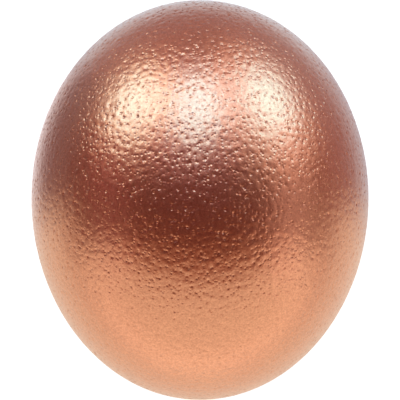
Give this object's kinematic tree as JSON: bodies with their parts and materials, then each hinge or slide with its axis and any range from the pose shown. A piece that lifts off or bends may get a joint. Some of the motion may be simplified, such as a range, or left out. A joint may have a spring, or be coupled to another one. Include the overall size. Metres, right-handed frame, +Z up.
{
  "type": "ostrich egg",
  "caption": "Pitted ostrich egg with a shiny copper-coloured metallic coat, lying on its side on a small flat spot.",
  "frame": {"origin": "centre of the small flat spot that the egg lies on, under the middle of its long axis", "axes": "+Z up, +Y along the egg's long axis towards its blunt end, +X to its side"},
  "size_m": [0.1264, 0.15, 0.126],
  "materials": {
    "copper_coated_shell": "satin"
  },
  "bodies": {
    "root": {"egg": "copper_coated_shell"}
  },
  "joints": []
}
